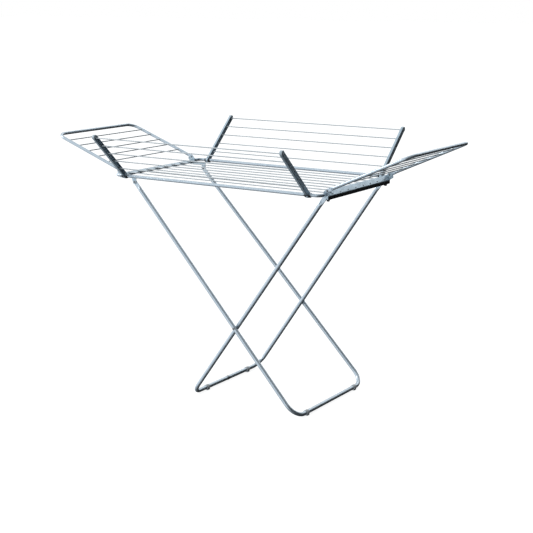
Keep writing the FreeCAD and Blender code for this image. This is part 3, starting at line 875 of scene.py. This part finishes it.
@dataclass
class TubeFrame:
    """A U of round tube with its ends pressed flat, as on the legs and the wings."""

    name: str
    node: str
    body: Body
    foot: Vector
    top: Vector
    foot_half: float
    top_half: float
    radius: float
    corner: float
    tab_radius: float
    tab_thickness: float
    flat: float
    corner_steps: int = 22
    corner_squeeze: float = 0.03
    press_steps: int = 12
    press_lead: float = 1.15
    tab_length: float = 2.2
    tip_degrees: Sequence[int] = (15, 30, 45, 58, 70)
    thin_tip_degrees: Sequence[int] = (80, 87)
    thin_tip: float = 0.7
    squareness: float = 2.2

    def stations(self) -> list[Station]:
        """Lays out the half of the tube from the bar's middle to one tip.

        Returns:
            For each station its place across and along, its heading, and its two half sizes.
        """
        length = (self.top - self.foot).length
        turn = math.atan2(self.foot_half - self.top_half, length)
        bend = math.pi / 2 + turn
        reach = self.corner * math.tan(bend / 2)
        rows = [(self.foot_half * share, 0.0, 0.0, self.radius, self.radius) for share in (0.0, 0.25, 0.5)]
        for step in range(self.corner_steps + 1):
            share = step / self.corner_steps
            angle = bend * share - math.pi / 2
            squeeze = 1.0 - self.corner_squeeze * math.sin(math.pi * share)
            rows.append((self.foot_half - reach + self.corner * math.cos(angle),
                         self.corner + self.corner * math.sin(angle), bend * share, self.radius * squeeze,
                         self.radius))

        def straight(distance: float, thin: float, wide: float) -> Station:
            """Returns a station up the straight leg, from the two half sizes in and out of its plane."""
            return (self.foot_half - math.sin(turn) * distance, math.cos(turn) * distance, bend, thin, wide)

        total = length / math.cos(turn)
        start = total - self.tab_length * self.tab_radius - self.flat
        for share in (0.15, 0.4, 0.7, 1.0):
            rows.append(straight(reach + (start - reach) * share, self.radius, self.radius))
        half_tab = self.tab_thickness / 2
        for step in range(1, self.press_steps + 1):
            share = step / self.press_steps
            ease = share * share * (3 - 2 * share)
            thin = self.radius + (half_tab - self.radius) * ease
            wide = self.radius + (self.tab_radius - self.radius) * min(1.0, ease * self.press_lead)
            rows.append(straight(start + self.flat * share, thin, wide))
        rows.append(straight(total, half_tab, self.tab_radius))
        for tips, thin in ((self.tip_degrees, half_tab), (self.thin_tip_degrees, half_tab * self.thin_tip)):
            for tip in map(math.radians, tips):
                rows.append(straight(total + self.tab_radius * math.sin(tip), thin,
                                     self.tab_radius * math.cos(tip)))
        return rows

    def make(self) -> None:
        """Builds the tube as one closed skin."""
        up = (self.top - self.foot).normalized()
        normal = Y_AXIS.cross(up).normalized()
        half = self.stations()
        rings = []
        for sign, rows in zip(SIGNS, (half[:0:-1], half)):
            for across, along, turned, thin, wide in rows:
                ahead = Y_AXIS * (sign * math.cos(turned)) + up * math.sin(turned)
                inward = ahead.cross(normal).normalized()
                if sign < 0:
                    inward = -inward
                pressed = max(0.0, 1.0 - thin / self.radius - self.corner_squeeze)
                centre = self.foot + Y_AXIS * (sign * across) + up * along
                rings.append(section(centre, inward, normal, thin, wide,
                                     power=2.0 + self.squareness * pressed))
        shell = Shell()
        shell.rings(rings)
        shell.place(self.name, Slot.TUBE, self.body, (self.node,), sharp=50.0)


# ---------------------------------------------------------------- legs
@dataclass
class Legs:
    """Both leg frames with their clips and rivets."""

    foot_height: float = 12.0 * MM
    tube_radius: float = 9.0 * MM
    outer_foot_half: float = 287.0 * MM
    frame_gap: float = 20.0 * MM
    taper: float = 0.0275
    corner: float = 65.0 * MM
    tab_radius: float = 10.0 * MM
    tab_thickness: float = 4.0 * MM
    flat: float = 26.0 * MM
    clip_radius: float = 11.4 * MM
    clip_width: float = 18.0 * MM
    clip_foot: float = 0.8
    clip_arc: tuple[float, float, int] = (-36.0, 252.0, 24)
    rib_arc: tuple[float, float, int] = (-10.0, 200.0, 18)
    rib_places: Triple = (0.2, 0.5, 0.8)
    rib_radius: float = 0.7 * MM
    rib_sink: float = 0.2 * MM
    rib_sides: int = 8

    def tubes(self) -> None:
        """Builds the outer and the inner tube frame."""
        crossing = joint_place("leg_fold")
        outer_top = joint_place("deck_fold")
        inner_top = middle_of("leg_top_rivets")
        outer_foot, inner_foot = (Vector((middle_of(node).x, 0.0, self.foot_height))
                                  for node in ("outer_foot_clips", "inner_foot_clips"))
        cross_half = self.outer_foot_half - self.taper * (crossing - outer_foot).length
        inner_half = cross_half - self.frame_gap + self.taper * (crossing - inner_foot).length
        inner_corner = self.corner - self.tube_radius
        for word, body, foot, top, half, corner in (
                ("outer", Body.OUTER_LEGS, outer_foot, outer_top, self.outer_foot_half, self.corner),
                ("inner", Body.INNER_LEGS, inner_foot, inner_top, inner_half, inner_corner)):
            top_half = half - self.taper * (top - foot).length
            TubeFrame(f"{word}_frame_tube", f"{word}_leg_tube", body, foot, top, half, top_half,
                      self.tube_radius, corner, self.tab_radius, self.tab_thickness, self.flat).make()

    def clips(self, name: str, node: str, body: Body) -> None:
        """Builds the two moulded floor clips of one crossbar, with grip ribs.

        Args:
            name: The piece's name.
            node: The CAD node it stands for.
            body: The body it rides on.
        """
        low, high = corners_of(node)
        centre_x = (low.x + high.x) / 2

        def around(turn: float, radius: float, y: float) -> Vector:
            """Returns a point at an angle and a distance around the crossbar's middle line."""
            return Vector((centre_x + radius * math.cos(turn), y, self.foot_height + radius * math.sin(turn)))

        foot = self.clip_foot * self.clip_radius
        shell = Shell()
        for start in (low.y, high.y - self.clip_width):
            outline = [around(turn, self.clip_radius, start) for turn in arc(*self.clip_arc)]
            outline += [Vector((centre_x + sign * foot, start, 0.0)) for sign in SIGNS]
            shell.prism(outline, Y_AXIS * self.clip_width)
            for share in self.rib_places:
                rib = [around(turn, self.clip_radius - self.rib_sink, start + self.clip_width * share)
                       for turn in arc(*self.rib_arc)]
                wire(shell, rib, self.rib_radius, self.rib_sides)
        shell.place(name, Slot.CLIP, body, (node,), bevel=0.5 * MM)

    def make(self, rivets: RepeatTree) -> None:
        """Builds every leg piece.

        Args:
            rivets: The rivet head tree.
        """
        self.tubes()
        self.clips("outer_floor_clips", "outer_foot_clips", Body.OUTER_LEGS)
        self.clips("inner_floor_clips", "inner_foot_clips", Body.INNER_LEGS)
        RivetHeads("crossing_rivet_heads", Body.OUTER_LEGS, "crossing_rivets").make(rivets)
        RivetHeads("leg_top_rivet_heads", Body.INNER_LEGS, "leg_top_rivets", grip=4.2 * MM).make(rivets)


# ---------------------------------------------------------------- deck
def flap_axes(side: float) -> tuple[Vector, Vector]:
    """Returns the directions up a flap's arms and off its plane, for the flap at one side."""
    cosine, sine = math.cos(FLAP_LEAN), math.sin(FLAP_LEAN)
    return Vector((0.0, side * cosine, sine)), Vector((0.0, -side * sine, cosine))


@dataclass
class Deck:
    """The flat middle of the rack: rails, rods, end channels, springs and rivets."""

    rod_count: int = 8
    rod_pitch: float = 62.0 * MM
    rod_inset: float = 2.0 * MM
    rail_bend: float = 30.0 * MM
    sheet_bend: float = 2.6 * MM
    left_web_drop: float = 16.0 * MM
    left_rim_rise: float = 3.0 * MM
    left_rim_fall: float = 6.0 * MM
    left_rim_depth: float = 22.0 * MM
    left_lip: float = 4.0 * MM
    web_drop: float = 22.0 * MM
    web_overlap: float = 3.0 * MM
    knee_drop: float = 5.4 * MM
    flange_run: float = 16.4 * MM
    flange_rise: float = 16.3 * MM
    right_lip: float = 4.8 * MM
    spring_radius: float = 2.0 * MM
    spring_spread: float = 11.0 * MM
    spring_reach: float = 14.0 * MM
    spring_bend: float = 3.2 * MM
    spring_sides: int = 12
    hook_arc: tuple[float, float, int] = (-235.0, 225.0, 18)
    hook_tail: tuple[float, float] = (0.62, 0.85)
    hook_gap: float = 0.05 * MM
    bar_gap: float = 0.3 * MM
    height: float = field(init=False)
    half_width: float = field(init=False)
    rail_end: float = field(init=False)
    rail_stop: float = field(init=False)
    half_length: float = field(init=False)
    channel_half: float = field(init=False)

    def __post_init__(self) -> None:
        """Reads the deck's places from the frame."""
        rail = joint_place("rear_flap_swing")
        self.height = rail.z
        self.half_width = rail.y
        self.rail_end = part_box("rear_rail")[1][0] - RAIL_RADIUS
        self.rail_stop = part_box("rear_rail")[0][1]
        self.half_length, self.channel_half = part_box("right_end_channel")[1][:2]

    def rails(self) -> None:
        """Builds the two long rails, each bent inwards at both ends."""
        shell = Shell()
        for side in SIGNS:
            corners = [Vector((hand * self.rail_end, side * y, self.height)) for hand, y in (
                (-1.0, self.rail_stop), (-1.0, self.half_width),
                (1.0, self.half_width), (1.0, self.rail_stop))]
            wire(shell, rounded_route(corners, self.rail_bend, 12), RAIL_RADIUS, ROUND_SIDES)
        shell.place("deck_rails", Slot.TUBE, Body.DECK, ("front_rail", "rear_rail"), sharp=60.0)

    def rods(self, tree: RepeatTree) -> None:
        """Builds the row of rods.

        Args:
            tree: The rod row tree.
        """
        first = -self.rod_pitch * (self.rod_count - 1) / 2
        RodRow("deck_rod_row", Body.DECK, "deck_rod", self.rod_count, Vector((0.0, first, self.height)),
               Y_AXIS * self.rod_pitch, X_AXIS, self.half_length - self.rod_inset, collar_radius=3.5 * MM,
               collar_inset=8.0 * MM).make(tree)

    def folded_strip(self, name: str, line: Sequence[tuple[float, float]], slot: Slot,
                     replaced: Sequence[str] = ()) -> None:
        """Builds one folded strip across an end of the deck, with rounded bends.

        Args:
            name: The piece's name.
            line: The sheet's middle line as distance along the rods and height above them.
            slot: The material slot.
            replaced: CAD nodes it stands for.
        """
        corners = [Vector((x, -self.channel_half, self.height + z)) for x, z in line]
        shell = Shell()
        shell.prism(folded_sheet(corners, self.sheet_bend, Y_AXIS), Y_AXIS * 2 * self.channel_half)
        shell.place(name, slot, Body.DECK, replaced, sharp=35.0)

    def channels(self) -> None:
        """Builds the two end channels; the right one has a pale flange over a web whose near-black paint is
        painted shade.
        """
        half = SHEET / 2
        out = self.half_length - half
        inner = out - self.left_rim_depth + half
        low = self.left_rim_rise - self.left_rim_fall - half
        self.folded_strip("left_channel", [(-out, -self.left_web_drop), (-out, self.left_rim_rise - half),
                                           (-inner, low), (-inner + self.left_lip, low)],
                          Slot.SHEET, ("left_end_channel",))
        knee = -self.knee_drop
        web_top = knee - self.web_overlap
        lip, high = out - self.flange_run, knee + self.flange_rise
        self.folded_strip("right_channel", [(out, web_top), (out, knee), (lip, high),
                                            (lip - self.right_lip, high)], Slot.SHEET, ("right_end_channel",))
        # The web's near-black finish is painted shade on the same sheet as the pale flange.
        self.folded_strip("right_channel_web_painted_shade", [(out, -self.web_drop), (out, web_top)], Slot.BRACKET)

    def springs(self) -> None:
        """Builds the four black saddle springs, each one bent from a single wire."""
        shell = Shell()
        ring = RAIL_RADIUS + self.spring_radius + self.hook_gap
        below = ARM_DEPTH / 2 + self.spring_radius + self.bar_gap
        bar_angle = math.atan2(-below, self.spring_reach)
        for side in SIGNS:
            rail = Vector((0.0, side * self.half_width, self.height))
            along, above = flap_axes(side)
            bar = along * self.spring_reach - above * below
            for hand in SIGNS:
                hooks, ends = [], []
                for edge in SIGNS:
                    eye = rail + X_AXIS * (hand * ARM_OFFSET + edge * self.spring_spread)
                    turns = [bar_angle + turn for turn in arc(*self.hook_arc)]
                    hook = [eye + (along * math.cos(turn) + above * math.sin(turn)) * ring for turn in turns]
                    hooks.append(hook + [eye + bar * share for share in self.hook_tail])
                    ends.append(eye + bar)
                bend = rounded_route([hooks[0][-1], *ends, hooks[1][-1]], self.spring_bend, 6)
                wire(shell, hooks[0][:-1] + bend + hooks[1][-2::-1], self.spring_radius, self.spring_sides)
        shell.place("saddle_springs", Slot.SPRING, Body.DECK, ("front_flap_stops", "rear_flap_stops"),
                    sharp=60.0)

    def make(self, rods: RepeatTree, rivets: RepeatTree) -> None:
        """Builds every deck piece.

        Args:
            rods: The rod row tree.
            rivets: The rivet head tree.
        """
        self.rails()
        self.rods(rods)
        self.channels()
        self.springs()
        RivetHeads("leg_pivot_rivet_heads", Body.DECK, "deck_pivot_rivets", grip=7.8 * MM).make(rivets)
        for word in ("left", "right"):
            RivetHeads(f"{word}_wing_rivet_heads", Body.DECK, f"{word}_wing_rivets", inset=1.75 * MM,
                       grip=6.8 * MM, radius=3.7 * MM).make(rivets)


# ---------------------------------------------------------------- flaps
@dataclass
class Flap:
    """One long flap: a row of rods between two channel arms that turn on the rail."""

    word: str
    side: float
    body: Body
    rod_count: int = 5
    rod_pitch: float = 52.5 * MM
    rod_reach: float = 263.0 * MM
    arm_width: float = 12.0 * MM
    arm_start: float = 8.0 * MM
    arm_end: float = 267.0 * MM
    arm_bend: float = 2.4 * MM
    eye_radius: float = 12.0 * MM
    eye_bore: float = 7.05 * MM
    eye_chamfer: float = 0.7 * MM
    eye_sides: int = 36
    cap_overlap: float = 0.4 * MM
    rail: Vector = field(init=False)
    along: Vector = field(init=False)
    above: Vector = field(init=False)

    def __post_init__(self) -> None:
        """Works out the flap's own axes."""
        self.rail = joint_place(f"{self.word}_flap_swing")
        self.along, self.above = flap_axes(self.side)

    def at(self, across: float, along: float, above: float) -> Vector:
        """Returns a point from its distances along the rail, up the arm and off the flap's plane."""
        return self.rail + X_AXIS * across + self.along * along + self.above * above

    def eye(self, centre: float) -> list[list[Vector]]:
        """Makes the rings of an arm's eye, a short bored drum with chamfered edges.

        Args:
            centre: The eye's place along the rail.

        Returns:
            The rings of points, to be joined in a loop.
        """
        bore, rim, chamfer, half = self.eye_bore, self.eye_radius, self.eye_chamfer, self.arm_width / 2
        edge = [(bore, chamfer - half), (bore + chamfer, -half), (rim - chamfer, -half),
                (rim, chamfer - half)]
        profile = edge + [(radius, -across) for radius, across in edge[::-1]]
        turns = [2 * math.pi * step / self.eye_sides for step in range(self.eye_sides)]
        return [[self.at(centre + across, radius * math.cos(turn), radius * math.sin(turn))
                 for radius, across in profile] for turn in turns]

    def arms(self) -> None:
        """Builds the two folded sheet arms and their eyes."""
        high = ARM_DEPTH / 2 - SHEET / 2
        for hand, end in zip(SIGNS, ("left", "right")):
            centre = hand * ARM_OFFSET
            outer = centre + hand * (self.arm_width / 2 - SHEET / 2)
            inner = centre - hand * self.arm_width / 2
            line = [self.at(across, self.arm_start, above)
                    for across, above in ((inner, high), (outer, high), (outer, -high), (inner, -high))]
            length = self.arm_end - self.arm_start
            shell = Shell()
            shell.prism(folded_sheet(line, self.arm_bend, self.along), self.along * length)
            shell.rings(self.eye(centre), closed=True)
            shell.place(f"{self.word}_{end}_folded_arm", Slot.SHEET, self.body, (f"{self.word}_{end}_arm",),
                        sharp=35.0)

    def caps(self) -> None:
        """Builds the rounded plastic caps on the arm ends."""
        shell = Shell()
        radius = ARM_DEPTH / 2
        for hand in SIGNS:
            across = hand * ARM_OFFSET - self.arm_width / 2
            outline = [self.at(across, self.arm_end + radius * math.cos(turn), radius * math.sin(turn))
                       for turn in arc(-90.0, 180.0, 16)]
            outline += [self.at(across, self.arm_end - self.cap_overlap, above)
                        for above in (radius, -radius)]
            shell.prism(outline, X_AXIS * self.arm_width)
        shell.place(f"{self.word}_tip_caps", Slot.CAP, self.body, (f"{self.word}_arm_caps",), bevel=1.1 * MM)

    def make(self, rods: RepeatTree) -> None:
        """Builds every piece of the flap.

        Args:
            rods: The rod row tree.
        """
        self.arms()
        self.caps()
        RodRow(f"{self.word}_flap_rod_row", self.body, f"{self.word}_flap_rod", self.rod_count,
               self.at(0.0, self.rod_reach, 0.0), self.along * -self.rod_pitch, X_AXIS,
               ARM_OFFSET + self.arm_width / 2 - SHEET, collar_radius=3.8 * MM,
               collar_inset=0.6 * MM).make(rods)


# ---------------------------------------------------------------- wings
@dataclass
class Wing:
    """One end wing: a bent tube with rods across it."""

    word: str
    hand: float
    body: Body
    angle: float
    tip_reach: float = 894.5 * MM
    half_width: float = 263.0 * MM
    tube_radius: float = 7.0 * MM
    corner: float = 45.0 * MM
    tab_radius: float = 8.0 * MM
    tab_thickness: float = 3.0 * MM
    flat: float = 18.0 * MM
    first_rod: float = 84.3 * MM
    rod_pitch: float = 59.25 * MM
    rod_count: int = 5
    rod_bite: float = 1.0 * MM

    def make(self, rods: RepeatTree) -> None:
        """Builds every piece of the wing.

        Args:
            rods: The rod row tree.
        """
        pivot = joint_place(f"{self.word}_wing_swing")
        outward = Vector((self.hand * math.cos(self.angle), 0.0, math.sin(self.angle)))
        tip = pivot + outward * ((self.tip_reach - abs(pivot.x)) / math.cos(self.angle))
        TubeFrame(f"{self.word}_wing_frame", f"{self.word}_wing_tube", self.body, tip, pivot, self.half_width,
                  self.half_width, self.tube_radius, self.corner, self.tab_radius, self.tab_thickness,
                  self.flat).make()
        RodRow(f"{self.word}_wing_rod_row", self.body, f"{self.word}_wing_rod", self.rod_count,
               pivot + outward * self.first_rod, outward * self.rod_pitch, Y_AXIS,
               self.half_width - self.tube_radius + self.rod_bite, collar_radius=3.6 * MM,
               collar_inset=0.4 * MM).make(rods)


# ---------------------------------------------------------------- carried-over CAD nodes
CARRIED: dict[str, Slot] = {
    "crossing_spacers": Slot.CLIP,
    "crossbar_sleeve": Slot.RIVET,
    "leg_pivot_brackets": Slot.SHEET,
    # The catches get the near-black finish as painted shade.
    "leg_top_catches": Slot.BRACKET,
    "left_wing_brackets": Slot.SHEET,
    "right_wing_brackets": Slot.SHEET,
    "left_wing_stop_pins": Slot.RIVET,
    "right_wing_stop_pins": Slot.RIVET,
}


def dress_carried() -> None:
    """Gives the CAD nodes that stay in sight their finishes."""
    for node, slot in CARRIED.items():
        thing = frame["nodes"][node]
        if not thing.material_slots:
            thing.data.materials.append(None)
        for place in thing.material_slots:
            place.material = FINISHES[slot].material()
        LOG.info("%s dressed as %s", node, slot.value)


# ---------------------------------------------------------------- studio
@dataclass
class Studio:
    """Floor, light and camera."""

    lens: float = 82.05
    camera_place: Triple = (2.941, -4.341, 1.7376)
    camera_yaw: float = 33.49
    camera_pitch: float = 12.73
    floor_half: float = 60.0
    floor_grey: float = 0.34
    floor_glow: float = 0.86
    sky_tint: Triple = (0.93, 0.97, 1.0)
    sky_base: float = 0.02
    left_toward: Triple = (-0.834, -0.552, 0.0)
    left_fade: tuple[float, float] = (0.05, 0.45)
    left_low: tuple[float, float, float, float] = (-0.75, -0.25, 0.25, 1.0)
    left_high: tuple[float, float, float, float] = (0.35, 0.85, 1.0, 0.55)
    left_strength: float = 1.05
    back_toward: Triple = (-0.15, 0.86, 0.49)
    back_fade: tuple[float, float] = (0.78, 0.92)
    back_strength: float = 1.2
    top_fade: tuple[float, float] = (0.55, 0.95)
    top_strength: float = 0.62
    key_toward: Triple = (-0.90, -0.35, 0.50)
    key_tint: Triple = (1.0, 0.99, 0.97)
    key_energy: float = 0.85
    key_spread: float = 25.0

    def floor(self) -> None:
        """Builds the plain pale floor; only the camera sees it, so the sky lights the rack from all round."""
        half = self.floor_half
        mesh = bpy.data.meshes.new("studio_floor")
        mesh.from_pydata([(-half, -half, 0.0), (half, -half, 0.0), (half, half, 0.0), (-half, half, 0.0)], [],
                         [(0, 1, 2, 3)])
        thing = add_object("studio_floor", mesh)
        made = bpy.data.materials.new("pale_floor")
        build = fresh_nodes(made)
        paper = build.add("ShaderNodeBsdfDiffuse", {"Color": (*[self.floor_grey] * 3, 1.0)})
        glow = build.add("ShaderNodeEmission", {"Color": (1.0, 1.0, 1.0, 1.0), "Strength": self.floor_glow})
        lit = build.add("ShaderNodeAddShader", {0: paper.outputs[0], 1: glow.outputs[0]})
        clear = build.add("ShaderNodeBsdfTransparent")
        surface = build.seen_by_camera(lit.outputs[0], clear.outputs[0])
        build.add("ShaderNodeOutputMaterial", {"Surface": surface})
        mesh.materials.append(made)

    def sky(self) -> None:
        """Builds the soft sky: a broad glow from the left, a patch behind and a weaker one overhead."""
        world = bpy.data.worlds.new("studio_sky")
        bpy.context.scene.world = world
        build = fresh_nodes(world)
        direction = build.add("ShaderNodeTexCoord").outputs["Generated"]
        rise = build.add("ShaderNodeSeparateXYZ", {0: direction}).outputs["Z"]

        def toward(way: Triple) -> bpy.types.NodeSocket:
            """Returns how far a sky direction points one way."""
            node = build.add("ShaderNodeVectorMath", {0: direction, 1: way}, operation="DOT_PRODUCT")
            return node.outputs["Value"]

        left = build.ranged(toward(self.left_toward), *self.left_fade, 0.0, self.left_strength, smooth=True)
        left = build.math("MULTIPLY", left, build.ranged(rise, *self.left_low))
        left = build.math("MULTIPLY", left, build.ranged(rise, *self.left_high))
        back = build.ranged(toward(self.back_toward), *self.back_fade, 0.0, self.back_strength, smooth=True)
        top = build.ranged(rise, *self.top_fade, 0.0, self.top_strength)
        strength = build.math("ADD", build.math("ADD", build.math("ADD", left, back), top), self.sky_base)
        glow = build.add("ShaderNodeBackground", {"Color": (*self.sky_tint, 1.0), "Strength": strength})
        pale = build.add("ShaderNodeBackground", {"Color": (1.0, 1.0, 1.0, 1.0), "Strength": 1.0})
        surface = build.seen_by_camera(pale.outputs[0], glow.outputs[0])
        build.add("ShaderNodeOutputWorld", {"Surface": surface})

    def key(self) -> None:
        """Builds the soft key light."""
        light = bpy.data.lights.new("key_light", "SUN")
        light.energy = self.key_energy
        light.angle = math.radians(self.key_spread)
        light.color = self.key_tint
        lamp = add_object("key_light", light)
        lamp.rotation_euler = Vector(self.key_toward).to_track_quat("Z", "Y").to_euler()

    def camera(self) -> None:
        """Builds the camera and makes it the scene's own."""
        data = bpy.data.cameras.new("camera")
        data.lens = self.lens
        data.sensor_width = 36.0
        data.clip_end = 200.0
        thing = add_object("camera", data)
        thing.location = self.camera_place
        thing.rotation_euler = (math.radians(90.0 - self.camera_pitch), 0.0, math.radians(self.camera_yaw))
        bpy.context.scene.camera = thing

    def make(self) -> None:
        """Builds the whole studio."""
        bpy.context.scene.view_settings.view_transform = "Standard"
        self.floor()
        self.sky()
        self.key()
        self.camera()


def main() -> None:
    """Builds the rack in order and reports each piece."""
    logging.basicConfig(level=logging.INFO, format="%(name)s: %(message)s")
    Studio().make()
    rods, rivets = rod_row_tree(), rivet_tree()
    Legs().make(rivets)
    Deck().make(rods, rivets)
    Flap("front", -1.0, Body.FRONT_FLAP).make(rods)
    Flap("rear", 1.0, Body.REAR_FLAP).make(rods)
    Wing("left", -1.0, Body.LEFT_WING, math.radians(20.0)).make(rods)
    Wing("right", 1.0, Body.RIGHT_WING, math.radians(24.0)).make(rods)
    dress_carried()


if __name__ == "__main__":
    main()
